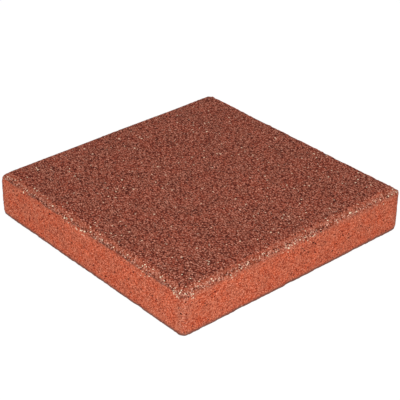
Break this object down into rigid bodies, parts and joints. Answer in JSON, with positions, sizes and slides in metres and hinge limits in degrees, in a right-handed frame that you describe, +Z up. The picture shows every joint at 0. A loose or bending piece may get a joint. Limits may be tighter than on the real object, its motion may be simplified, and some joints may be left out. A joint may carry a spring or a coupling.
{
  "type": "concrete stepping stone",
  "caption": "Square cast concrete stepping stone with upright sides, rounded corners and a bevel round its tread face, laid flat on the ground.",
  "frame": {"origin": "centre of the bedding face, which lies on the ground", "axes": "+Z up through the thickness to the tread face, X and Y along the sides of the square"},
  "size_m": [0.305, 0.305, 0.051],
  "materials": {
    "red_concrete": "matte"
  },
  "bodies": {
    "root": {"stepping_stone": "red_concrete"}
  },
  "joints": []
}
